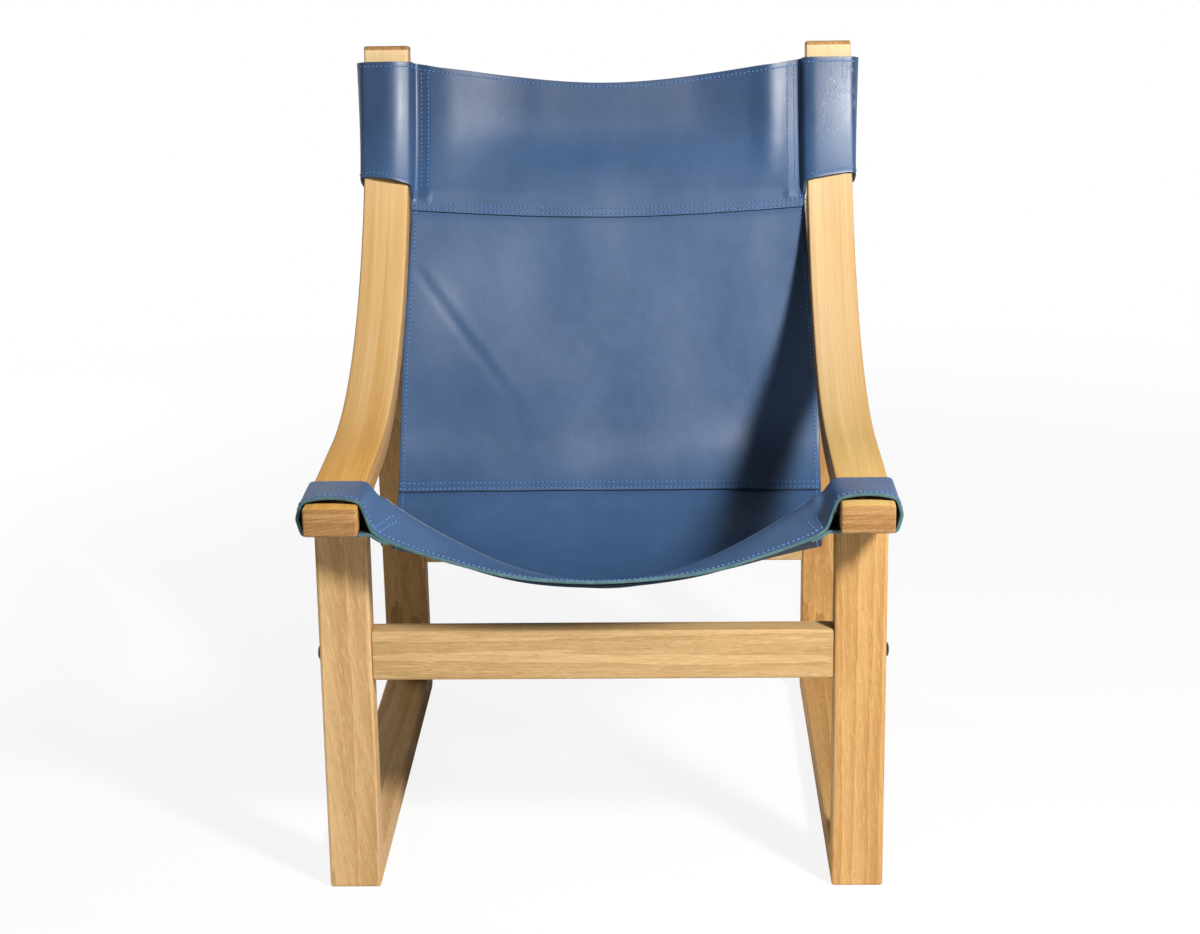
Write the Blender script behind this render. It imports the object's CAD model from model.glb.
import math

import bpy
import numpy as np
from mathutils import Euler, Matrix, Vector


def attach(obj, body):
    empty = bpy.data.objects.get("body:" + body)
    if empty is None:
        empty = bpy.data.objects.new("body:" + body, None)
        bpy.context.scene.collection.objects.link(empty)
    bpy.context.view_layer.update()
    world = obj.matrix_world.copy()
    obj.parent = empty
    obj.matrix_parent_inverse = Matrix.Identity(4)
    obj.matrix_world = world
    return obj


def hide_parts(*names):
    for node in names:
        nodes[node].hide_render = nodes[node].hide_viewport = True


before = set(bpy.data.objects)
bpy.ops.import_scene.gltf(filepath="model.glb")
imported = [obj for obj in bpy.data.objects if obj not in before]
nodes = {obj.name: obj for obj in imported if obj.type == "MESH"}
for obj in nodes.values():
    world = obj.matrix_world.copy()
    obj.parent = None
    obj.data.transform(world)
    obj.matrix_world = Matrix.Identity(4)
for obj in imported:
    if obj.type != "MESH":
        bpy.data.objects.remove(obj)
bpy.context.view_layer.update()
bpy.ops.object.select_all(action="DESELECT")


# Legs and floor rails: solid hardwood boards, eased on every edge and oiled to a satin finish.
# The grain runs along each board, with open pores and the arches of a flat-sawn plank.
class Value:
    """A shader socket that takes part in Python arithmetic."""

    def __init__(self, socket):
        self.socket = socket

    def maths(self, operation, other=0.0, swapped=False):
        node = self.socket.id_data.nodes.new("ShaderNodeMath")
        node.operation = operation
        terms = (other, self) if swapped else (self, other)
        for slot, term in zip(node.inputs, terms):
            feed(slot, term)
        return Value(node.outputs[0])

    def __add__(self, other):
        return self.maths("ADD", other)

    def __sub__(self, other):
        return self.maths("SUBTRACT", other)

    def __rsub__(self, other):
        return self.maths("SUBTRACT", other, swapped=True)

    def __mul__(self, other):
        return self.maths("MULTIPLY", other)

    __radd__, __rmul__ = __add__, __mul__


def feed(socket, value):
    """Links a value to a socket, or sets a plain number or colour on it."""
    if isinstance(value, Value):
        socket.id_data.links.new(value.socket, socket)
    else:
        socket.default_value = value


class Nodes:
    """A node tree whose nodes are added one at a time."""

    def __init__(self, tree):
        self.tree = tree

    def node(self, kind, inputs=None, output=0, stops=(), **settings):
        node = self.tree.nodes.new("ShaderNode" + kind)
        for key, value in settings.items():
            setattr(node, key, value)
        if stops:
            while len(node.color_ramp.elements) < len(stops):
                node.color_ramp.elements.new(0.5)
            for element, (place, colour) in zip(node.color_ramp.elements, stops):
                element.position = place
                element.color = (*colour, 1)
        for slot, value in (inputs or {}).items():
            feed(node.inputs[slot], value)
        return Value(node.outputs[output])

    def axis(self, vector, number):
        return self.node("SeparateXYZ", {0: vector}, number)

    def step(self, value, low, high):
        """0 below low, 1 above high, smooth between."""
        return self.node("MapRange", {0: value, 1: low, 2: high}, interpolation_type="SMOOTHSTEP")


class Finish(Nodes):
    """A material with one shader and the patterns that feed it."""

    def __init__(self, name, **constants):
        self.material = bpy.data.materials.new(name)
        self.material.use_nodes = True
        super().__init__(self.material.node_tree)
        self.shader = self.tree.nodes["Principled BSDF"]
        self.surface(**constants)

    def surface(self, **inputs):
        for name, value in inputs.items():
            feed(self.shader.inputs[name.replace("_", " ")], value)

    def where(self):
        """Place on the object, in its own metres."""
        return self.node("TexCoord", output=3)

    def noise(self, place, scale, detail=3.0, roughness=0.55):
        inputs = {"Vector": place, "Scale": scale, "Detail": detail, "Roughness": roughness}
        return self.node("TexNoise", inputs)

    def ramp(self, value, *stops):
        return self.node("ValToRGB", {0: value}, stops=stops)

    def mix(self, factor, first, second, blend="MIX"):
        inputs = {0: factor, 6: first, 7: second}
        return self.node("Mix", inputs, 2, data_type="RGBA", blend_type=blend)

    def vector(self, operation, first, second):
        return self.node("VectorMath", {0: first, 1: second}, operation=operation)

    def turned(self, place, rotation):
        return self.node("Mapping", {"Vector": place, "Rotation": rotation})

    def grain(self, place, scale, detail=3.0, roughness=0.55):
        """Noise drawn out by its own scale on each axis."""
        return self.noise(self.vector("MULTIPLY", place, scale), 1.0, detail, roughness)

    def bump(self, height, depth, under=None):
        inputs = {"Height": height, "Distance": depth, "Strength": 1.0}
        if under is not None:
            inputs["Normal"] = under
        return self.node("Bump", inputs)


def toned(colour, times, plus=0.0):
    return (*(min(1.0, times * c + plus) for c in colour), 1)


def hardwood(finish, place, light, dark, heart, slant=0.0):
    """Grain along the Z axis of place: faint rings about heart, streaks, fine lines and pores."""
    drift = finish.grain(place, (11, 11, 2.2), 2.0)
    log = finish.vector("MULTIPLY", finish.vector("SUBTRACT", place, heart), (1, 1, 0.04))
    rings = finish.node(
        "TexWave",
        {"Vector": log, "Scale": 34.0, "Distortion": 7.0, "Detail": 3.0, "Detail Scale": 1.6},
        wave_type="RINGS",
        rings_direction="Z",
        wave_profile="SAW",
    )
    leaning = finish.turned(place, (0, slant, 0))
    streak = finish.grain(leaning, (105, 105, 5.0), 4.0, 0.66)
    line = finish.grain(leaning, (520, 520, 22), 3.0, 0.7)
    fibre = finish.grain(leaning, (1100, 1100, 70), 3.0, 0.75)
    pore = finish.step(finish.grain(leaning, (900, 900, 95), 1.5), 0.58, 0.72)
    fleck = finish.step(finish.grain(leaning, (640, 640, 60), 2.0), 0.56, 0.70)
    figure = 0.14 * rings + 0.22 * streak + 0.26 * line + 0.26 * fibre + 0.28 * drift
    tone = finish.ramp(figure, (0.45, light), (0.68, dark))
    tone = finish.mix(0.40 * fleck, tone, toned(light, 1.10, 0.015))
    tone = finish.mix(0.34 * pore, tone, toned(dark, 0.55))
    finish.surface(
        Base_Color=tone,
        Roughness=0.42 + 0.14 * fibre + 0.12 * pore,
        Normal=finish.bump(fibre - pore, 0.00012),
    )


def straight_grain(piece, name, turn, light, dark, heart, slant=0.0):
    """Gives a board its own timber, with the grain turned along it."""
    finish = Finish(name, Specular_IOR_Level=0.14)
    hardwood(finish, finish.turned(finish.where(), turn), light, dark, heart, slant)
    nodes[piece].data.materials[0] = finish.material


# each side's light and dark tone, the share of them that its rear leg keeps, and the front leg's grain
side_boards = {
    "left": ((0.640, 0.415, 0.196), (0.430, 0.245, 0.094), (0.90, 0.84, 0.72), (-0.33, -0.40, 0.3), 0.16),
    "right": ((0.610, 0.365, 0.142), (0.420, 0.215, 0.066), (1.04, 0.99, 0.92), (0.20, -0.36, 0.5), 0.06),
}
UPRIGHT, LENGTHWISE, CROSSWISE = (0, 0, 0), (math.pi / 2, 0, 0), (0, math.pi / 2, 0)
for side, (light, dark, shade, heart, slant) in side_boards.items():
    straight_grain(f"{side}_front_leg", f"{side}_leg_timber", UPRIGHT, light, dark, heart, slant)
    rail_heart = (heart[0], 0.12, 0.1)
    straight_grain(f"{side}_floor_rail", f"{side}_rail_timber", LENGTHWISE, light, dark, rail_heart)
    light = tuple(np.multiply(light, shade))
    dark = tuple(np.multiply(dark, 0.85 * np.array(shade)))
    rear_heart = (heart[0] + 0.05, 0.38, 0.1)
    straight_grain(f"{side}_rear_leg", f"{side}_rear_leg_timber", UPRIGHT, light, dark, rear_heart)


# Runners: six thin laminations glued over a former, straight under the arm and bent up into the back
# on one radius. The glue lines show on the sides and on the cut ends, which are darker end grain.
FRAME_DEPTH = 0.2745415  # from the front face of the front legs to the middle of the chair
RUNNER_WIDTH, RUNNER_THICKNESS = 0.055, 0.030
RUNNER_EASING = 0.0026  # the rounding of every edge
TOP_END_GRAIN = 0.0050  # how far the end grain of the rounded top comes down the face
RUNNER_CENTRE = 0.2725
RUNNER_FRONT, RUNNER_HEIGHT = -0.075 - FRAME_DEPTH, 0.4515
RUNNER_PITCH, RUNNER_STRAIGHT = math.radians(2.0), 0.237
BACK_RADIUS, BACK_TURN = 0.450, math.radians(80.6)
PITCH_COS, PITCH_SIN = math.cos(RUNNER_PITCH), math.sin(RUNNER_PITCH)
RUNNER_LENGTH = RUNNER_STRAIGHT + BACK_RADIUS * BACK_TURN
LAMINATION = RUNNER_THICKNESS / 6
BEND_CENTRE = (
    RUNNER_FRONT + RUNNER_STRAIGHT * PITCH_COS - BACK_RADIUS * PITCH_SIN,
    RUNNER_HEIGHT + RUNNER_STRAIGHT * PITCH_SIN + BACK_RADIUS * PITCH_COS,
)  # depth and height


def easing(width, segments, degrees, **more):
    """Rounds the edges that turn by more than an angle."""
    settings = {"width": width, "segments": segments, "limit_method": "ANGLE"}
    return "BEVEL", {**settings, "angle_limit": math.radians(degrees), **more}


def finish_mesh(piece, smooth, *modifiers):
    """Applies modifiers in turn, each a type with its settings, and smooths the softer turns."""
    bpy.ops.object.select_all(action="DESELECT")
    bpy.context.view_layer.objects.active = piece
    piece.select_set(True)
    for kind, settings in modifiers:
        modifier = piece.modifiers.new(kind.title(), kind)
        for key, value in settings.items():
            setattr(modifier, key, value)
        bpy.ops.object.modifier_apply(modifier=modifier.name)
    bpy.ops.object.shade_smooth_by_angle(angle=math.radians(smooth))
    return piece


def bent_runner(side, x):
    """The end section is drawn along the straight arm and spun round the bend of the back."""
    upward = Vector((0, -PITCH_SIN, PITCH_COS))
    middle = Vector((x, RUNNER_FRONT, RUNNER_HEIGHT)) - upward * (RUNNER_THICKNESS / 2)
    upright = (math.pi / 2 + RUNNER_PITCH, 0, 0)
    bpy.ops.mesh.primitive_plane_add(size=1, location=middle, rotation=upright)
    runner = bpy.context.object
    runner.name = f"{side}_bent_runner"
    runner.scale = (RUNNER_WIDTH, RUNNER_THICKNESS, 1)
    bpy.ops.object.transform_apply(location=True, rotation=True, scale=True)
    bpy.ops.object.mode_set(mode="EDIT")
    bpy.ops.mesh.select_all(action="SELECT")
    reach = (0, RUNNER_STRAIGHT * PITCH_COS, RUNNER_STRAIGHT * PITCH_SIN)
    bpy.ops.mesh.extrude_region_move(TRANSFORM_OT_translate={"value": reach})
    bpy.ops.mesh.spin(steps=64, angle=-BACK_TURN, center=(x, *BEND_CENTRE), axis=(1, 0, 0))
    bpy.ops.mesh.select_all(action="SELECT")
    bpy.ops.mesh.remove_doubles(threshold=1e-5)
    bpy.ops.mesh.normals_make_consistent(inside=False)
    bpy.ops.object.mode_set(mode="OBJECT")
    return finish_mesh(runner, 35, easing(RUNNER_EASING, 4, 40))


def unbend(piece, centre):
    """Stores each vertex's place in the flat laminate: across, depth under the face, and along."""
    count = len(piece.data.vertices)
    place = np.empty(count * 3)
    piece.data.vertices.foreach_get("co", place)
    place = place.reshape(-1, 3)
    out_y, out_z = place[:, 1] - BEND_CENTRE[0], place[:, 2] - BEND_CENTRE[1]
    turn = np.arctan2(out_y, -out_z) - RUNNER_PITCH
    bent = turn > 0
    step_y, step_z = place[:, 1] - RUNNER_FRONT, place[:, 2] - RUNNER_HEIGHT
    flat_along = step_y * PITCH_COS + step_z * PITCH_SIN
    flat_depth = step_y * PITCH_SIN - step_z * PITCH_COS
    along = np.where(bent, RUNNER_STRAIGHT + turn * BACK_RADIUS, flat_along)
    depth = np.where(bent, np.hypot(out_y, out_z) - BACK_RADIUS, flat_depth)
    flat = np.stack([place[:, 0] - centre, depth, along], axis=1)
    layer = piece.data.attributes.new("laminate", "FLOAT_VECTOR", "POINT")
    layer.data.foreach_set("vector", flat.ravel())


def laminate(name, seed, light, dark, gold, end_light, end_dark):
    """Long streaks in each ply, glue lines on the sides, and banded end grain on the cut ends.

    The arm is golden from hands, and the top of the back is paler.
    """
    finish = Finish(name, Specular_IOR_Level=0.12)
    flat = finish.node("Attribute", output=1, attribute_name="laminate")
    across, depth, along = (finish.axis(flat, k) for k in range(3))
    count = depth * (0.99 / LAMINATION) + 0.03  # just inside both faces, so that a face is one ply
    ply = count.maths("FLOOR")
    chance = finish.node("TexWhiteNoise", {"W": ply + seed}, noise_dimensions="1D")
    shift = finish.node("CombineXYZ", {0: chance * 3.0, 1: 0.0, 2: chance * 7.0})
    veneer = finish.vector("ADD", flat, shift)
    fibre = finish.grain(veneer, (520, 700, 9), 3.0, 0.65)
    streak = finish.grain(veneer, (95, 60, 1.3), 4.0, 0.62)
    line = finish.grain(veneer, (300, 120, 2.6), 2.0, 0.6)
    drift = finish.grain(veneer, (14, 4, 1.3), 2.0)
    pore = finish.step(finish.grain(veneer, (640, 640, 40), 1.0), 0.60, 0.72)
    figure = 0.42 * streak + 0.20 * line + 0.12 * fibre + 0.32 * drift + 0.06 * chance
    tone = finish.ramp(figure, (0.43, light), (0.68, dark))
    tone = finish.mix(0.12 * pore, tone, toned(dark, 0.6))
    tone = finish.mix(1 - finish.step(along, 0.16, 0.46), tone, (*gold, 1), "MULTIPLY")
    tone = finish.mix(0.45 * finish.step(along, 0.60, 0.86), tone, (0.860, 0.660, 0.400, 1))
    edge = count.maths("FRACT").maths("PINGPONG", 0.5)
    inside = finish.step(depth, 0.0012, 0.0028)
    inside = inside * finish.step(RUNNER_THICKNESS - depth, 0.0012, 0.0028)
    glue = (1 - finish.step(edge, 0.015, 0.075)) * inside
    glue_tone = toned(dark, 0.42)
    tone = finish.mix(0.50 * glue, tone, glue_tone)
    slope = finish.turned(flat, (0, 0, 0.12))
    band = finish.grain(slope, (26, 760, 3), 4.0, 0.7)
    speck = finish.grain(slope, (260, 2200, 60), 3.0, 0.7)
    end_figure = 0.52 * band + 0.10 * chance + 0.40 * speck
    end_tone = finish.ramp(end_figure, (0.42, end_light), (0.62, end_dark))
    end_tone = finish.mix(0.70 * glue, end_tone, glue_tone)
    half = RUNNER_WIDTH / 2
    side = finish.step(across.maths("ABSOLUTE"), half - 0.0018, half - 0.0004)
    tone = finish.mix(0.55 * side, tone, end_tone)
    top = RUNNER_LENGTH - TOP_END_GRAIN
    ends = 1 - finish.step(along, 0.0004, 0.0022) + finish.step(along, top - 0.0006, top + 0.0006)
    finish.surface(
        Base_Color=finish.mix(ends, tone, end_tone),
        Roughness=0.40 + 0.14 * fibre + 0.08 * pore + 0.12 * ends,
        Normal=finish.bump(fibre - pore - 0.8 * glue, 0.00010),
    )
    return finish.material


END_GRAIN = (0.480, 0.268, 0.102), (0.235, 0.108, 0.036)
# each side's light and dark tone, and the golden tint of the arm
runner_tones = {
    "left": ((0.780, 0.540, 0.265), (0.590, 0.335, 0.110), (0.96, 0.80, 0.46)),
    "right": ((0.710, 0.500, 0.262), (0.535, 0.315, 0.118), (1.0, 0.98, 0.72)),
}
for side, x, seed in (("left", -RUNNER_CENTRE, 3.0), ("right", RUNNER_CENTRE, 11.0)):
    runner = bent_runner(side, x)
    unbend(runner, x)
    veneers = laminate(f"{side}_runner_laminate", seed, *runner_tones[side], *END_GRAIN)
    runner.data.materials.append(veneers)
    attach(runner, "root")
    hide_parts(f"{side}_runner")


# Stretchers: two plain boards of the same oiled hardwood that tie the side frames together. The grain
# runs across, and a bolt at each end draws the board against the legs.
BAR_TONES = (0.600, 0.400, 0.190), (0.410, 0.250, 0.100)
for end, heart in (("front", (0.25, 0.30, 0.4)), ("rear", (0.20, -0.20, -0.3))):
    straight_grain(f"{end}_stretcher", f"{end}_stretcher_timber", CROSSWISE, *BAR_TONES, heart)


# Fasteners: black button-head bolts and screws, zinc barrel nuts seen from behind in their holes, and
# beech dowels hidden in the glued joints.
def brushed_metal(name, colour, metallic, low, high):
    finish = Finish(name, Metallic=metallic)
    where = finish.where()
    cast = finish.noise(where, 900.0, 2.0)
    wear = finish.step(finish.noise(where, 160.0, 3.0), 0.55, 0.75)
    finish.surface(
        Base_Color=finish.mix(0.35 * wear, (*colour, 1), toned(colour, 1.9, 0.02)),
        Roughness=low + (high - low) * cast,
        Normal=finish.bump(cast, 0.00003),
    )
    return finish.material


def beech(name):
    finish = Finish(name)
    fleck = finish.grain(finish.where(), (600, 600, 40), 2.0)
    finish.surface(
        Base_Color=finish.ramp(fleck, (0.3, (0.66, 0.47, 0.27)), (0.7, (0.52, 0.34, 0.18))),
        Roughness=0.55 + 0.2 * fleck,
        Normal=finish.bump(fleck, 0.0001),
    )
    return finish.material


black_steel = brushed_metal("black_steel", (0.018, 0.018, 0.020), 0.6, 0.30, 0.48)
zinc = brushed_metal("zinc_plate", (0.42, 0.43, 0.44), 1.0, 0.28, 0.42)
dowel_beech = beech("dowel_beech")
for side in ("left", "right"):
    for fastener in ("front_bolt", "rear_bolt", "back_screw"):
        nodes[f"{side}_{fastener}"].data.materials[0] = black_steel
    for end in ("front", "rear"):
        nodes[f"{side}_{end}_barrel_nut"].data.materials[0] = zinc
    for joint in ("runner", "front_rail", "rear_rail"):
        for number in (1, 2):
            nodes[f"{side}_{joint}_dowel_{number}"].data.materials[0] = dowel_beech


# The sling's hang: a middle line that falls from the front edge into the seat, turns on one radius and
# climbs the back, with sides drawn up towards the four loops.
LEATHER, LAYER = 0.0035, 0.0037
INSIDE = 0.245  # half the clear width between the runners
STITCH_X = INSIDE - 0.023
FRONT_LOOP, TOP_LOOP_END = 0.013, RUNNER_LENGTH - 0.020
TOP_LOOP = 0.157
TOP_LOOP_START = TOP_LOOP_END - TOP_LOOP
HEAD_SETBACK, HEAD_SAG, HEAD_LENGTH = 0.012, 0.029, 0.166
HEAD_CURVE, HEAD_HOLLOW, HEAD_DISH = 1.85, 0.014, 0.008
SEAT_LENGTH, SEAM_LAP = 0.513, 0.014
SEAT_FALL, BACK_LEAN, HOLLOW_RADIUS = math.radians(18.5), math.radians(71), 0.190


def over_runner(along, height):
    """Depth and height of a point at a height over the runner's upper face."""
    flat = np.minimum(along, RUNNER_STRAIGHT)
    slope = RUNNER_PITCH + np.maximum(along - RUNNER_STRAIGHT, 0) / BACK_RADIUS
    y = RUNNER_FRONT + flat * PITCH_COS
    z = RUNNER_HEIGHT + flat * PITCH_SIN
    y = y + BACK_RADIUS * (np.sin(slope) - PITCH_SIN) - height * np.sin(slope)
    z = z + BACK_RADIUS * (PITCH_COS - np.cos(slope)) + height * np.cos(slope)
    return np.stack(np.broadcast_arrays(y, z), axis=-1)


front_edge = over_runner(np.array(FRONT_LOOP), -RUNNER_THICKNESS) - (0, 0.051)
end_slope = RUNNER_PITCH + (TOP_LOOP_END - RUNNER_STRAIGHT) / BACK_RADIUS
top_edge = over_runner(np.array(TOP_LOOP_END), -HEAD_SETBACK)
top_edge = top_edge - HEAD_SAG * np.array((math.cos(end_slope), math.sin(end_slope)))
seat_way = np.array((math.cos(SEAT_FALL), -math.sin(SEAT_FALL)))
back_way = np.array((math.cos(BACK_LEAN), math.sin(BACK_LEAN)))
hollow_turn = SEAT_FALL + BACK_LEAN
span = top_edge - front_edge
crossing = seat_way[0] * back_way[1] - seat_way[1] * back_way[0]
tangent = HOLLOW_RADIUS * math.tan(hollow_turn / 2)
seat_line = (span[0] * back_way[1] - span[1] * back_way[0]) / crossing - tangent
back_line = (seat_way[0] * span[1] - seat_way[1] * span[0]) / crossing - tangent
hollow_line = HOLLOW_RADIUS * hollow_turn
SLING_LENGTH = seat_line + hollow_line + back_line
HEAD_SEAM = SLING_LENGTH - HEAD_LENGTH


def middle_line(along):
    along = np.asarray(along, float)[..., None]
    hollow = np.clip(along - seat_line, 0, hollow_line) / HOLLOW_RADIUS
    angle = hollow - SEAT_FALL
    point = front_edge + seat_way * np.minimum(along, seat_line)
    turn_y = HOLLOW_RADIUS * (np.sin(angle) + math.sin(SEAT_FALL))
    turn_z = HOLLOW_RADIUS * (math.cos(SEAT_FALL) - np.cos(angle))
    point = point + np.concatenate([turn_y, turn_z], axis=-1)
    return point + back_way * np.maximum(along - seat_line - hollow_line, 0)


def smooth_between(along, places, values):
    """A smooth curve through values at places."""
    places, values = np.asarray(places, float), np.asarray(values, float)
    along = np.clip(along, places[0], places[-1])
    i = np.clip(np.searchsorted(places, along, side="right"), 1, len(places) - 1)
    slopes = np.gradient(values, places, axis=0, edge_order=1)
    slopes[1:-1] = (values[2:] - values[:-2]) / (places[2:] - places[:-2])[:, None]
    width = places[i] - places[i - 1]
    t = ((along - places[i - 1]) / width)[..., None]
    width = width[..., None]
    rise = (1 + 2 * t) * (1 - t) ** 2 * values[i - 1] + t * t * (3 - 2 * t) * values[i]
    return rise + width * (t * (1 - t) ** 2 * slopes[i - 1] - t * t * (1 - t) * slopes[i])


STRAP_WIDTH = 0.068
MID_SEAT, MID_BACK = (STRAP_WIDTH + SEAT_LENGTH) / 2, (SEAT_LENGTH + HEAD_SEAM) / 2
SIDE_PLACES = (0, STRAP_WIDTH, MID_SEAT, SEAT_LENGTH, MID_BACK, HEAD_SEAM)
# how far the sides are drawn up, which way, and the power of the curve across
SIDE_SHAPES = np.array(
    (
        (0.048, 90, 2.0),
        (0.093, 92, 1.85),
        (0.080, 118, 1.8),
        (0.012, 163, 2.0),
        (0.009, 150, 2.0),
        (0.011, 115, 1.8),
    )
)
SIDE_SHAPES[:, 1] = np.radians(SIDE_SHAPES[:, 1])
seam_rise, seam_toward, _ = SIDE_SHAPES[-1]
seam_way = np.array((math.cos(seam_toward), math.sin(seam_toward)))
seam_end = middle_line(HEAD_SEAM) + seam_rise * seam_way
loop_low = over_runner(np.array(TOP_LOOP_START), 0)[1]
loop_high = over_runner(np.array(TOP_LOOP_END), 0)[1]
# where the top loops start, measured along the sling's middle line
LOOP_FORK = HEAD_SEAM + HEAD_LENGTH * (seam_end[1] - loop_low) / (seam_end[1] - loop_high)


def head_side(along):
    """The line of the loop stitching beside the head panel, from the seam up to the top edge."""
    low = over_runner(np.array(TOP_LOOP_START), -HEAD_SETBACK)
    share = (along - HEAD_SEAM) / HEAD_LENGTH
    start = (LOOP_FORK - HEAD_SEAM) / HEAD_LENGTH
    below = seam_end + (low - seam_end) * (np.minimum(share, start) / start)[..., None]
    on_runner = TOP_LOOP_START + np.maximum(share - start, 0) / (1 - start) * TOP_LOOP
    return np.where((share < start)[..., None], below, over_runner(on_runner, -HEAD_SETBACK))


def eased(value, low, high):
    """0 below low, 1 above high, smooth between."""
    share = np.clip((value - low) / (high - low), 0, 1)
    return share * share * (3 - 2 * share)


def sling_point(x, along):
    """A point of the hanging sling, at a place across it and along its middle line."""
    x, along = np.broadcast_arrays(x, along)
    middle = middle_line(along)
    reach = (np.abs(x) / STITCH_X)[..., None]
    shape = smooth_between(along, SIDE_PLACES, SIDE_SHAPES)
    lift = shape[..., :1] * reach ** shape[..., 2:]
    toward = np.concatenate([np.cos(shape[..., 1:2]), np.sin(shape[..., 1:2])], axis=-1)
    lower = middle + lift * toward
    upper = middle + (head_side(along) - middle) * reach**HEAD_CURVE
    aloft = np.clip((along - HEAD_SEAM) / HEAD_LENGTH, 0, 1)[..., None]
    rim = aloft * eased(reach, 0.44, 0.97) + (1 - aloft) * np.minimum(reach, 1) ** 2
    dish = HEAD_DISH * np.exp(-(((aloft - 0.60) / 0.24) ** 2))
    hollow = HEAD_HOLLOW * eased(aloft, 0, 1) + dish
    upper = upper + hollow * (1 - rim) * np.array((1, 0))
    flat = np.where((along > HEAD_SEAM)[..., None], upper, lower)
    return np.concatenate([x[..., None], flat], axis=-1)


# broad waves: height, turns across and along, and start
WAVES = ((0.0004, 38, 17, 0.8), (0.0003, -23, 41, 2.1), (0.0002, 61, -9, 4.0))
# both ends of the crease across the back: across, along
CREASE = np.array(((-0.241, 0.789), (-0.100, 0.603)))
# swells of the back panel: across, along, height, and half widths both ways
SWELLS = (
    (-0.245, 0.745, 0.0060, 0.080, 0.070),
    (-0.245, 0.600, -0.0045, 0.090, 0.060),
    (0.245, 0.600, -0.0080, 0.115, 0.065),
)


def relief(x, along):
    """Unevenness of a hide that has been sat in: waves, swells and a crease across the back."""
    x, along = np.broadcast_arrays(x, along)
    waves = sum(height * np.sin(a * x + b * along + c) for height, a, b, c in WAVES)
    waves = waves * np.clip((0.235 - np.abs(x)) / 0.05, 0, 1)
    way = CREASE[1] - CREASE[0]
    reach = np.linalg.norm(way)
    way = way / reach
    off_x, off_along = x - CREASE[0, 0], along - CREASE[0, 1]
    share = (off_x * way[0] + off_along * way[1]) / reach
    aside = off_along * way[0] - off_x * way[1]
    fade = np.clip(9 * share, 0, 1) * np.clip(1.9 * (1 - share), 0, 1)
    fade = fade * (share > 0) * (share < 1)
    crease = 0.0004 * np.exp(-(((aside - 0.010) / 0.009) ** 2))
    crease = crease - 0.0006 * np.exp(-((aside / 0.0060) ** 2))
    swell = np.zeros_like(x)
    for centre, place, height, wide, long in SWELLS:
        off = ((x - centre) / wide) ** 2 + ((along - place) / long) ** 2
        swell = swell + height * np.exp(-off)
    return waves + crease * fade + swell


def unit(vectors):
    return vectors / np.linalg.norm(vectors, axis=-1, keepdims=True)


def sling_layer(x, along, depth):
    """A point of one leather layer, layer 0 being the head panel and deeper layers under it."""
    step = 0.0005
    across = sling_point(x + step, along) - sling_point(x - step, along)
    ahead = sling_point(x, along + step) - sling_point(x, along - step)
    normal = unit(np.cross(across, ahead))
    lift = np.asarray(depth) * LAYER + relief(x, along)
    return sling_point(x, along) + normal * lift[..., None]


# Sling leather: thick vegetable-tanned hide, dyed blue through a waxed face, suede underneath, with raw
# burnished edges. Each piece is cut flat and sewn, so each is one sheet with its own flat size.
def hide(name):
    """Waxed face: cloudy dye, fine pebble, a deeper tone at the head and wrinkles on the right ear."""
    finish = Finish(name, Specular_IOR_Level=0.66, Coat_Weight=0.08, Coat_Roughness=0.26)
    where = finish.where()
    cloud = finish.noise(where, 7.0, 4.0)
    mottle = finish.noise(where, 55.0, 4.0, 0.6)
    cells = {"Vector": where, "Scale": 950.0, "Smoothness": 0.6}
    pebble = finish.node("TexVoronoi", cells, feature="SMOOTH_F1")
    fine = finish.noise(where, 2600.0, 2.0)
    vein = finish.step(finish.grain(where, (22, 40, 30), 5.0, 0.7), 0.60, 0.78)
    figure = 0.55 * cloud + 0.40 * mottle + 0.10 * fine
    tone = finish.ramp(figure, (0.34, (0.031, 0.075, 0.168)), (0.72, (0.043, 0.097, 0.209)))
    tone = finish.mix(0.14 * vein, tone, (0.080, 0.135, 0.245, 1))
    upper = finish.step(finish.axis(where, 2), 0.715, 0.785)
    tone = finish.mix(upper, tone, (0.72, 0.73, 0.76, 1), "MULTIPLY")
    crack = (finish.grain(where, (70, 60, 24), 3.0, 0.6) - 0.5).maths("ABSOLUTE")
    folded = finish.step(finish.axis(where, 0), 0.245, 0.272)
    worn = finish.step(finish.noise(where, 26.0, 2.0), 0.38, 0.54)
    wrinkle = (1 - finish.step(crack, 0.0, 0.022)) * upper * folded * worn
    tone = finish.mix(0.60 * wrinkle, tone, (0.240, 0.300, 0.420, 1))
    rub = finish.noise(where, 28.0, 3.0)
    broad = finish.bump(rub, 0.0003)
    finish.surface(
        Base_Color=tone,
        Roughness=0.36 + 0.10 * mottle + 0.07 * rub,
        Normal=finish.bump(pebble + 0.5 * fine - 2.0 * wrinkle, 0.00008, broad),
    )
    return finish.material


def fibrous(name, gloss, fine, cloud, rough, depth, dark, light):
    """A fibrous surface: fine is the noise of its nap, cloud that of its tone."""
    finish = Finish(name, Specular_IOR_Level=gloss)
    where = finish.where()
    nap = finish.noise(where, *fine)
    finish.surface(
        Base_Color=finish.ramp(finish.noise(where, *cloud), (0.3, dark), (0.7, light)),
        Roughness=rough[0] + rough[1] * nap,
        Normal=finish.bump(nap, depth),
    )
    return finish.material


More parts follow.
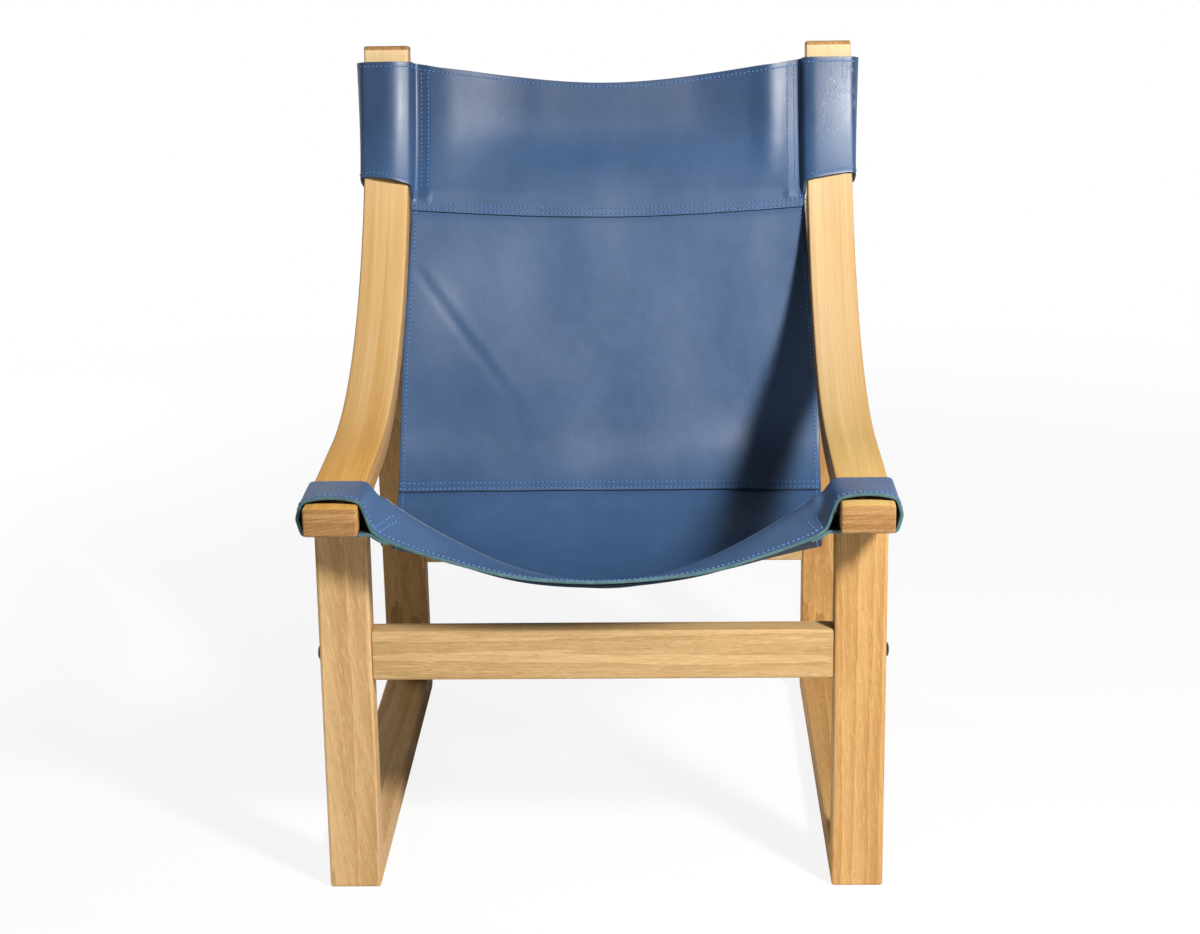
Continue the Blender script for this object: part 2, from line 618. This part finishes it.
# gloss, nap, cloud, roughness and depth of the nap
SUEDE = 0.2, (1500.0, 3.0, 0.7), (20.0, 4.0), (0.82, 0.12), 0.00025
RAW_EDGE = 0.35, (900.0, 3.0, 0.7), (90.0, 3.0), (0.55, 0.20), 0.00018
WAXED = 0.4, (2400.0, 2.0), (2400.0, 2.0), (0.5, 0.2), 0.0001
blue_hide = hide("blue_hide")
blue_suede = fibrous("blue_suede", *SUEDE, (0.050, 0.064, 0.090), (0.070, 0.087, 0.118))
pale_edge = fibrous("pale_edge", *RAW_EDGE, (0.048, 0.108, 0.122), (0.088, 0.172, 0.182))
waxed_edge = fibrous("waxed_edge", *RAW_EDGE, (0.022, 0.050, 0.082), (0.040, 0.080, 0.118))
cream_edge = fibrous("cream_edge", *RAW_EDGE, (0.480, 0.530, 0.400), (0.680, 0.720, 0.560))
thread = fibrous("waxed_thread", *WAXED, (0.068, 0.165, 0.385), (0.120, 0.245, 0.495))
needle_hole = fibrous("needle_hole", *SUEDE, (0.004, 0.007, 0.014), (0.010, 0.016, 0.030))
EDGE_EASING = 0.0008


def placed(name, data):
    thing = bpy.data.objects.new(name, data)
    bpy.context.scene.collection.objects.link(thing)
    return thing


def new_piece(name, points, faces, *finishes):
    mesh = bpy.data.meshes.new(name)
    mesh.from_pydata(points, [], faces)
    mesh.update()
    for finish in finishes:
        mesh.materials.append(finish)
    return placed(name, mesh)


def leather_piece(name, grid, edge, skived=None):
    """A sheet from a grid of points on its middle surface, with gaps as NaN.

    Cells marked in skived show the pale core of the hide.
    """
    rows, columns = grid.shape[:2]
    present = ~np.isnan(grid[..., 0])
    number = np.cumsum(present.ravel()).reshape(rows, columns) - 1
    cells = present[:-1, :-1] & present[1:, :-1] & present[:-1, 1:] & present[1:, 1:]
    r, c = np.nonzero(cells)
    corners = (number[r, c], number[r, c + 1], number[r + 1, c + 1], number[r + 1, c])
    faces = np.stack(corners, axis=1).tolist()
    finishes = (blue_hide, blue_suede, edge, cream_edge)
    reverse, rim, core = 1, 2, 3
    piece = new_piece(name, grid[present].tolist(), faces, *finishes)
    if skived is not None:
        piece.data.polygons.foreach_set("material_index", np.where(skived[r, c], core, 0))
    wall = {"thickness": LEATHER, "offset": 0.0, "use_even_offset": True}
    wall.update(material_offset=reverse, material_offset_rim=rim)
    return finish_mesh(piece, 40, ("SOLIDIFY", wall), easing(EDGE_EASING, 2, 50, material=rim))


def flat_area(grid):
    """Area of the sheet's middle surface, which is the area it was cut to."""
    d1 = grid[1:, 1:] - grid[:-1, :-1]
    d2 = grid[1:, :-1] - grid[:-1, 1:]
    return float(np.nansum(np.linalg.norm(np.cross(d1, d2), axis=-1)) / 2)


def at(grid, row, column):
    """Points of the grid at fractional rows and columns."""
    row = np.clip(np.asarray(row, float), 0, grid.shape[0] - 1.001)
    column = np.clip(np.asarray(column, float), 0, grid.shape[1] - 1.001)
    r, c = row.astype(int), column.astype(int)
    u, v = (row - r)[..., None], (column - c)[..., None]
    low = grid[r, c] * (1 - v) + grid[r, c + 1] * v
    high = grid[r + 1, c] * (1 - v) + grid[r + 1, c + 1] * v
    return low * (1 - u) + high * u


STITCH_PITCH, STITCH_LENGTH, THREAD = 0.0054, 0.0042, 0.0015
HOLE_RADIUS, HOLE_DEPTH = 0.00055, 0.0003


def taken_down(piece, base=0):
    """Points and faces of a piece that is then removed."""
    points = np.array([v.co for v in piece.data.vertices])
    faces = [tuple(i + base for i in p.vertices) for p in piece.data.polygons]
    bpy.data.objects.remove(piece)
    return points, faces


def one_stitch():
    """One stitch: a short thread, sunk at both ends, and the needle hole between it and the next."""
    bpy.ops.mesh.primitive_cylinder_add(vertices=6, radius=THREAD / 2, depth=STITCH_LENGTH)
    stitch = bpy.context.object
    bpy.ops.object.mode_set(mode="EDIT")
    bpy.ops.mesh.select_all(action="SELECT")
    bpy.ops.transform.rotate(value=math.pi / 2, orient_axis="Y", center_override=(0, 0, 0))
    for place in (-0.28, 0.28):
        bpy.ops.mesh.select_all(action="SELECT")
        bpy.ops.mesh.bisect(plane_co=(STITCH_LENGTH * place, 0, 0), plane_no=(1, 0, 0))
    bpy.ops.object.mode_set(mode="OBJECT")
    points, faces = taken_down(stitch)
    points[:, 2] -= THREAD * 0.9 * (2 * np.abs(points[:, 0]) / STITCH_LENGTH) ** 3
    bpy.ops.mesh.primitive_cylinder_add(vertices=6, radius=HOLE_RADIUS, depth=HOLE_DEPTH)
    hole_points, hole_faces = taken_down(bpy.context.object, len(points))
    hole_points += (STITCH_PITCH / 2, 0, -THREAD * 0.18)
    finish = [0] * len(faces) + [1] * len(hole_faces)
    return np.concatenate([points, hole_points]), faces + hole_faces, finish


stitch_points, stitch_faces, stitch_finish = one_stitch()


def run_length(path):
    """Distance run at each point of a path."""
    return np.concatenate([[0], np.cumsum(np.linalg.norm(np.diff(path, axis=0), axis=1))])


def along_line(places, length, path):
    """Points of a path at distances run."""
    return np.stack([np.interp(places, length, column) for column in path.T], axis=1)


def stitching(name, grid, lines, reverse=()):
    """Stitches along lines of fractional rows and columns, on the face or the reverse of a piece."""
    vertices, faces = [], []
    for facing, rows, columns in [(1, *line) for line in lines] + [(-1, *line) for line in reverse]:
        rows, columns = np.broadcast_arrays(rows, columns)
        path = at(grid, rows, columns)
        length = run_length(path)
        places = np.arange(STITCH_PITCH / 2, length[-1], STITCH_PITCH)
        row, column = np.interp(places, length, rows), np.interp(places, length, columns)
        here = at(grid, row, column)
        ahead, behind = (along_line(places + step, length, path) for step in (0.001, -0.001))
        along = unit(ahead - behind)
        across = at(grid, row, column + 0.5) - at(grid, row, column - 0.5)
        up = at(grid, row + 0.5, column) - at(grid, row - 0.5, column)
        normal = unit(np.cross(across, up))
        for centre, way, out in zip(here, along, normal * facing):
            surface = centre + out * (LEATHER / 2 + THREAD * 0.22)
            side = unit(np.cross(out, way))
            turned = np.stack([way, side, np.cross(way, side)])
            base = len(vertices)
            vertices.extend((stitch_points @ turned + surface).tolist())
            faces.extend(tuple(i + base for i in face) for face in stitch_faces)
    piece = new_piece(name, vertices, faces, thread, needle_hole)
    finishes = stitch_finish * (len(faces) // len(stitch_faces))
    piece.data.polygons.foreach_set("material_index", finishes)
    piece.data.shade_smooth()
    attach(piece, "root")
    return piece


def hang(piece, node, grid):
    """Takes the place of the solid, as a sheet with its flat size and its stitches."""
    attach(piece, "root")
    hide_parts(node)
    flat_area(grid)


# Seat panel: the lowest layer, from just behind the strap's front edge to a lap past the seat seam,
# narrow under the strap and wider behind, where its edges pass under the runners.
SEAT_SETBACK = 0.012
WIDTH_PLACES = (0, STRAP_WIDTH, SEAT_LENGTH, HEAD_SEAM)
WIDTHS = INSIDE + np.array(((-0.031,), (-0.031,), (0.011,), (-0.003,)))  # half widths at those places
EDGE_STITCH, LAP_STITCH = 0.0056, 0.0032  # from the edge of a piece to its stitches
LAP_ROWS = 0.0072  # between the two rows through a lap


def panel_grid(low, high, rows, columns, depth, seam):
    """A panel at its layer's depth, a little nearer the face until it dives under the lap at its seam."""
    along = np.linspace(low, high, rows)[:, None]
    half = smooth_between(along, WIDTH_PLACES, WIDTHS)[..., 0]
    near = 0.42 * eased(along, low + 0.075, low + 0.140)
    near = near * (1 - eased(along, seam - 0.010, seam + 0.004))
    return sling_layer(np.linspace(-1, 1, columns)[None, :] * half, along, depth + near)


def edge_columns(grid, inset):
    """Fractional columns, row by row, that lie an inset inside the left and right edges."""
    width = np.linalg.norm(np.diff(grid, axis=1), axis=2)
    left = inset / width[:, 0]
    return left, grid.shape[1] - 1 - inset / width[:, -1]


def lap_rows(start, per_row, columns):
    """The two rows of stitches through a lap, from a distance along the panel."""
    return [(start / per_row, columns), ((start + LAP_ROWS) / per_row, columns)]


def sewn_panel(name, low, seam, rows, columns, depth, over_seam=False):
    """A panel stitched down both sides and through its laps, in the place of its solid."""
    grid = panel_grid(low, seam + SEAM_LAP, rows, columns, depth, seam)
    piece = leather_piece(f"{name}_leather", grid, waxed_edge)
    sides = [(np.arange(rows), side) for side in edge_columns(grid, EDGE_STITCH)]
    per_row = (seam + SEAM_LAP - low) / (rows - 1)
    over_lap = lap_rows(LAP_STITCH, per_row, np.arange(columns)) if over_seam else []
    under_lap = lap_rows(seam + LAP_STITCH - low, per_row, np.arange(columns))
    stitches = stitching(f"{name}_stitching", grid, sides + over_lap, reverse=sides + under_lap)
    hang(piece, f"{name}_panel", grid)


sewn_panel("seat", SEAT_SETBACK, SEAT_LENGTH, 140, 112, -2)


# Back panel: lapped over the seat panel and under the head panel, with a row of stitches down each side
# and two rows through the lap with the seat.
sewn_panel("back", SEAT_LENGTH, HEAD_SEAM, 110, 124, -1, over_seam=True)


# Head panel: the top layer. Its ears are wrapped round the tops of the runners and come back behind it,
# where two rows of stitches close each loop.
LOOP_GAP = 0.0009
HUG = LOOP_GAP + LEATHER / 2
OUTSIDE = INSIDE + RUNNER_WIDTH
LOOP_INNER, LOOP_OUTER, LOOP_UNDER = INSIDE - HUG, OUTSIDE + HUG, -RUNNER_THICKNESS - HUG


def smoothed(path, rounds):
    for _ in range(rounds):
        path[1:-1] = 0.5 * path[1:-1] + 0.25 * (path[:-2] + path[2:])
    return path


def along_path(corners, count, rounds):
    """A path through corners at an even pace, eased so that every turn is a soft fold."""
    corners = np.array(corners, float)
    length = run_length(corners)
    path = along_line(np.linspace(0, length[-1], count), length, corners)
    return smoothed(path, rounds)


EAR_STEPS = 150
EAR_CORNER = 0.012  # the rounded inside corner under each ear
EAR_TAPER = 0.010  # the ear's lower edge is cut on a slant
EAR_END_DROP = 0.007  # the sewn end is cut shorter, and stays hidden
EAR_SLACK = 0.0066  # the outer side stands off more towards the top
EAR_ROWS = 0.0085  # between the two rows of stitches that close an ear
TOP_FOLD = 0.0030  # the top edge dips beside the loop stitching
# side, rise off the runner, where it is highest, and the fall from the stitching to the fold
LOOP_BOWS = ((-1, 0.0074, 0.268, 0.0018), (1, 0.0036, 0.252, 0.0006))
RIDGES = ((-1, 0.0004), (1, 0.0036))  # side, and how far the hide stands up beside its stitching
RIDGE_X, RIDGE_WIDTH = 0.199, 0.015


def ear_path(bow, crest, fall, outer):
    """From the loop stitching into the fold beside the runner, round it, and back to the stitching."""
    sewn = -HEAD_SETBACK - LAYER
    face = []
    for x in np.linspace(INSIDE + 0.003, OUTSIDE - 0.003, 11):
        reach = (crest - INSIDE - 0.0005) if x < crest else (OUTSIDE - 0.0005 - crest)
        face.append((x, HUG + bow * (1.05 - ((x - crest) / reach) ** 2)))
    corners = [
        (STITCH_X, -HEAD_SETBACK),
        (STITCH_X + EAR_ROWS, -HEAD_SETBACK - fall),
        (LOOP_INNER - 0.0050, -HEAD_SETBACK - fall - 0.0008),
        (LOOP_INNER - 0.0014, -HEAD_SETBACK - 0.0006),
        (LOOP_INNER - 0.0006, -0.003),
        (LOOP_INNER - 0.0002, HUG),
        *face,
        (LOOP_OUTER + 0.0004, HUG),
        (LOOP_OUTER + outer, -RUNNER_THICKNESS / 2),
        (LOOP_OUTER, LOOP_UNDER),
        (LOOP_INNER, LOOP_UNDER),
        (STITCH_X + 0.006, sewn - 0.0050),
        (STITCH_X - 0.014, sewn - 0.0010),
    ]
    return along_path(corners, EAR_STEPS, 11)


def head_sheet():
    """Grid of the whole piece: left ear, panel, right ear; and the row and column where they fork."""
    low_rows, high_rows = 16, 56
    rise = np.linspace(0, 1, high_rows)
    loops = {
        sign: np.array([ear_path(bow, crest, fall, 0.0008 + EAR_SLACK * up) for up in rise])
        for sign, bow, crest, fall in LOOP_BOWS
    }
    ear = loops[1][0]
    run = run_length(ear)
    side_edge = int(np.argmax((ear[:, 0] > INSIDE - 0.0037) & (ear[:, 1] > -0.008)))
    past = np.maximum(run - run[side_edge], 0)
    corner = np.maximum(EAR_CORNER - past, 0)
    dip = EAR_CORNER - np.sqrt(np.maximum(EAR_CORNER**2 - corner**2, 0))
    dip = dip - EAR_TAPER * np.clip(past / 0.060, 0, 1)
    drop = EAR_END_DROP * np.clip((past - 0.100) / 0.030, 0, 1)
    fold = TOP_FOLD * np.clip(1 - run / 0.030, 0, 1) ** 1.5
    top = SLING_LENGTH
    fork = LOOP_FORK - EAR_CORNER
    below = np.linspace(HEAD_SEAM, fork, low_rows + 1)[:-1]

    def on_runner(along, height):
        share = (along - LOOP_FORK) / (top - LOOP_FORK)
        return over_runner(TOP_LOOP_START + share * TOP_LOOP, height)

    def wing(sign):
        sheet = np.full((low_rows + high_rows, EAR_STEPS, 3), np.nan)
        ears = loops[sign]
        for j in range(EAR_STEPS):
            start = LOOP_FORK - dip[j]
            above = start + (top - drop[j] - fold[j] - start) * rise
            sheet[low_rows:, j, 0] = sign * ears[:, j, 0]
            sheet[low_rows:, j, 1:] = on_runner(above, ears[:, j, 1])
            if j <= side_edge:
                every = np.concatenate([below, above])
                x, height = ears[0, j]
                wide = STITCH_X + (INSIDE - 0.003 - STITCH_X) * run[j] / run[side_edge]
                plain = sling_layer(sign * wide, every, 0)
                pull = eased(every, HEAD_SEAM + 0.008, LOOP_FORK)[:, None]
                beside = np.full(len(every), sign * x)
                drawn = np.column_stack([beside, on_runner(every, height)])
                drawn[low_rows:] = sheet[low_rows:, j]
                sheet[:, j] = plain * (1 - pull) + drawn * pull
        return sheet

    every = np.concatenate([below, fork + (top - fork) * rise])[:, None]
    x = np.linspace(-STITCH_X, STITCH_X, 114)[None, 1:-1]
    aloft = np.clip((every - HEAD_SEAM) / HEAD_LENGTH, 0, 1)
    fall = TOP_FOLD * np.exp(-(((np.abs(x) - STITCH_X) / 0.034) ** 2)) * aloft**4
    ridge = np.zeros_like(x)
    for sign, height in RIDGES:
        swell = np.exp(-(((x * sign - RIDGE_X) / RIDGE_WIDTH) ** 2))
        swell = swell - math.exp(-(((STITCH_X - RIDGE_X) / RIDGE_WIDTH) ** 2))
        ridge = ridge + height * np.maximum(swell, 0)
    ridge = ridge * np.clip(aloft * 3 - 0.6, 0, 1)
    middle = sling_layer(x, every - fall, ridge / LAYER)
    return np.concatenate([wing(-1)[:, ::-1], middle, wing(1)], axis=1), low_rows, side_edge


head_grid, fork_row, ear_edge = head_sheet()
head = leather_piece("head_leather", head_grid, waxed_edge)
head_rows, head_columns = head_grid.shape[:2]
columns = np.arange(head_columns, dtype=float)
low_step = (LOOP_FORK - EAR_CORNER - HEAD_SEAM) / fork_row
high_step = (SLING_LENGTH - LOOP_FORK + EAR_CORNER) / (head_rows - 1 - fork_row)
panel_edge = EAR_STEPS - 1 - ear_edge
panel_columns = columns[panel_edge + 2 : head_columns - panel_edge - 2]
top_row = head_rows - 1 - EDGE_STITCH / high_step
EAR_FRONT = 52  # columns across the front of an ear
front_of_ear = columns[panel_edge - EAR_FRONT : panel_edge - 10]
rows = np.arange(0.0, fork_row + 3)
left, right = edge_columns(head_grid[: fork_row + 3, panel_edge : head_columns - panel_edge], EDGE_STITCH)
loop_rows = np.arange(fork_row + 6, top_row, 1.0)
ear_step = np.linalg.norm(head_grid[-20, 1] - head_grid[-20, 0])
EAR_END = 0.0045  # from the sewn end of an ear to its first row
ear_columns = [EAR_STEPS - 1 - EAR_ROWS / ear_step, EAR_STEPS - 1]
ear_columns += [EAR_END / ear_step, (EAR_END + EAR_ROWS) / ear_step]
head_lines = [
    (top_row, columns[panel_edge - EAR_FRONT : head_columns - panel_edge + EAR_FRONT]),
    *lap_rows(LAP_STITCH, low_step, panel_columns),
    (rows, panel_edge + left),
    (rows, panel_edge + right),
    (fork_row + EDGE_STITCH / high_step, front_of_ear),
    (fork_row + EDGE_STITCH / high_step, head_columns - 1 - front_of_ear[::-1]),
    *((loop_rows, c) for c in ear_columns),
    *((loop_rows, head_columns - 1 - c) for c in ear_columns),
]
top_reverse = [(top_row, columns[EAR_STEPS + 4 : head_columns - EAR_STEPS - 4])]
head_stitches = stitching("head_stitching", head_grid, head_lines, reverse=top_reverse)
hang(head, "head_panel", head_grid)


# Front strap: lies on the front of the seat panel, goes loosely over and round both runners in front of
# the legs, and its narrower ends come back to be sewn under it.
BEFORE_LEG = 0.0720  # from the runner's front end to just in front of the leg
STRAP_BELOW = BEFORE_LEG / PITCH_COS - FRONT_LOOP
STRAP_SLACK = 0.005
OVER_STEPS, UNDER_STEPS, STRAP_MIDDLE = 76, 84, 130


def by_runner(point):
    """Place of a point along the runner's straight part, and its height over the upper face."""
    y, z = point[..., 1] - RUNNER_FRONT, point[..., 2] - RUNNER_HEIGHT
    return y * PITCH_COS + z * PITCH_SIN, z * PITCH_COS - y * PITCH_SIN


def strap_over(across):
    """The strap's upper run at a distance from its front edge: from the sling over the runner's face."""
    slack = (1 - across / STRAP_WIDTH) * STRAP_SLACK
    leave_along, leave = by_runner(sling_layer(STITCH_X, across, -1))
    join = leave + 0.16 * (HUG - leave)
    corners = [(STITCH_X, leave), (LOOP_INNER - 0.011, join), (LOOP_INNER, HUG)]
    for x in np.linspace(INSIDE + 0.0015, OUTSIDE - 0.0015, 9):
        corners.append((x, HUG + slack * (1 - ((x - RUNNER_CENTRE) / 0.030) ** 2)))
    corners += [(LOOP_OUTER, HUG), (LOOP_OUTER + slack, -RUNNER_THICKNESS / 2)]
    path = along_path(corners, OVER_STEPS, 8)
    fade = eased(path[:, 0], STITCH_X, STITCH_X + 0.030)
    along = leave_along + (FRONT_LOOP + across - leave_along) * fade
    return np.column_stack([path, along])


def strap_under(share, start):
    """The narrower lower run: from the outer side, under the runner, to its end beneath the strap."""
    across = share * STRAP_BELOW
    upper = strap_over(across)
    low = upper[:, 1] < max(LOOP_UNDER + LAYER, upper[0, 1] + 0.003)
    upper = upper[low & (upper[:, 0] < LOOP_INNER - 0.002)]
    slope = np.gradient(upper[:, 1], upper[:, 0])
    beneath = upper.copy()
    beneath[:, 0] += LAYER * slope / np.hypot(1, slope)
    beneath[:, 1] -= LAYER / np.hypot(1, slope)
    tip_x = STITCH_X - 0.006
    tip_along, tip = by_runner(sling_layer(tip_x, across, -2))
    loop = FRONT_LOOP + across
    corners = [
        tuple(start),
        (LOOP_OUTER, LOOP_UNDER, loop),
        (LOOP_INNER - HUG, LOOP_UNDER, loop),
        *map(tuple, beneath[::-2]),
        (tip_x, float(tip), float(tip_along)),
    ]
    return along_path(corners, UNDER_STEPS, 6)


STRAP_SKIVE = 0.0042  # the back edge is pared thin, and shows the pale core of the hide


def strap_sheet(rows):
    """Grid of the strap: left turn, middle, right turn, with a narrow last row for the pared edge."""
    sheet = []
    for share in (*np.linspace(0, 1 - STRAP_SKIVE / STRAP_WIDTH, rows - 1), 1):
        over = strap_over(share * STRAP_WIDTH)
        run = np.concatenate([over, strap_under(share, over[-1])[1:]])
        spot = over_runner(run[:, 2], run[:, 1])
        wing = np.column_stack([run[:, 0], spot])
        x = np.linspace(-STITCH_X, STITCH_X, STRAP_MIDDLE + 2)[1:-1]
        middle = sling_layer(x, share * STRAP_WIDTH, -1)
        row = np.concatenate([(wing * (-1, 1, 1))[::-1], middle, wing])
        sheet.append(smoothed(row, 3))
    return np.array(sheet)


strap_grid = strap_sheet(23)
strap_rows, strap_columns = strap_grid.shape[:2]
skive = np.zeros((strap_rows - 1, strap_columns - 1), bool)
skive[-1] = np.abs(strap_grid[-1, 1:, 0]) < STITCH_X
strap = leather_piece("strap_leather", strap_grid, pale_edge, skive)
columns = np.arange(strap_columns, dtype=float)
wing_columns = (strap_columns - STRAP_MIDDLE) // 2
row_step = STRAP_WIDTH / (strap_rows - 2)
tie = np.linspace(0, 1, 30)
across_strap = run_length(strap_grid[4])
across_strap -= np.interp((strap_columns - 1) / 2, columns, across_strap)


def tie_line(sign, start, length, slant):
    """A row of stitches across the strap that closes its loop, from a place near the front edge."""
    place = sign * (start - slant * tie)
    return (EDGE_STITCH + length * tie) / row_step, np.interp(place, across_strap, columns)


over = OVER_STEPS - 4
strap_lines = [
    (EDGE_STITCH / row_step, columns[wing_columns - over : strap_columns - wing_columns + over]),
    tie_line(-1, 0.2430, 0.037, 0.022),
    tie_line(-1, 0.2355, 0.032, 0.019),
    tie_line(1, 0.2390, 0.022, 0.008),
    tie_line(1, 0.2315, 0.022, 0.010),
]
strap_stitches = stitching("strap_stitching", strap_grid, strap_lines)
hang(strap, "front_strap", strap_grid)


# Studio: a white paper floor that fades into a white backdrop, a compact key softbox at the front right,
# a weak fill from the left, a wide fill from behind, and a long lens at the photograph's angle.
FLOOR_WHITE = 0.88  # share of plain white that the camera sees on the floor; the rest keeps the shadow
bpy.ops.mesh.primitive_plane_add(size=6)
floor = bpy.context.object
floor.name = "studio_floor"
paper = Finish("studio_paper", Roughness=0.9, Specular_IOR_Level=0.1)
where = paper.where()
away = paper.node("VectorMath", {0: where}, 1, operation="LENGTH")
tooth = paper.noise(where, 400.0, 2.0)
near = 1 - paper.step(away, 1.2, 2.8)
paper.surface(
    Base_Color=paper.ramp(tooth, (0.3, (0.90, 0.90, 0.90)), (0.7, (0.92, 0.92, 0.92))),
    Alpha=near,
)
seen = paper.node("LightPath")
white = paper.node("Emission", {"Color": (1, 1, 1, 1), "Strength": 1.0})
white = paper.node("MixShader", {0: near, 1: paper.node("BsdfTransparent"), 2: white})
sheet = Value(paper.shader.outputs[0])
both = paper.node("MixShader", {0: seen * FLOOR_WHITE, 1: sheet, 2: white})
feed(paper.tree.nodes["Material Output"].inputs["Surface"], both)
floor.data.materials.append(paper.material)

world = bpy.data.worlds.new("studio_world")
bpy.context.scene.world = world
world.use_nodes = True
sky = Nodes(world.node_tree)
backdrop = sky.tree.nodes["Background"]
behind = sky.step(sky.axis(sky.node("TexCoord"), 1), 0.0, 0.5)
seen, mirrored, through = (sky.node("LightPath", output=k) for k in (0, 3, 6))
white = seen + through + mirrored * behind * 0.6
feed(backdrop.inputs["Strength"], (0.05 + white).maths("MINIMUM", 1.0))
feed(backdrop.inputs["Color"], (1, 1, 1, 1))


def softbox(name, place, aim, size, power, mirrored=True):
    """A rectangular lamp, which glossy surfaces may mirror or not."""
    lamp = bpy.data.lights.new(name, "AREA")
    lamp.shape = "RECTANGLE"
    lamp.size, lamp.size_y = size
    lamp.energy = power
    stand = placed(name, lamp)
    stand.visible_glossy = mirrored
    stand.location = place
    stand.rotation_euler = (Vector(aim) - Vector(place)).to_track_quat("-Z", "Y").to_euler()


softbox("key_softbox", (1.323, -1.822, 1.850), (0, 0, 0.55), (0.28, 0.50), 104)
softbox("back_softbox", (-1.7, 1.9, 0.9), (0, 0, 0.5), (1.2, 1.2), 32, mirrored=False)
softbox("left_softbox", (-2.3, -1.7, 1.2), (0, 0, 0.6), (0.3, 1.6), 6)

camera = bpy.data.cameras.new("camera")
camera.sensor_fit = "HORIZONTAL"
camera.sensor_width = 36.0
camera.lens = 72.0471
stand = placed("camera", camera)
yaw, pitch, roll = -0.027869, 0.267958, -0.0150278
aim = Euler((math.pi / 2 - pitch, 0, -yaw)).to_matrix() @ Matrix.Rotation(roll, 3, "Z")
stand.matrix_world = Matrix.Translation((0.0674, -2.3964 - FRAME_DEPTH, 1.1314)) @ aim.to_4x4()
bpy.context.scene.camera = stand
bpy.context.scene.view_settings.view_transform = "Standard"
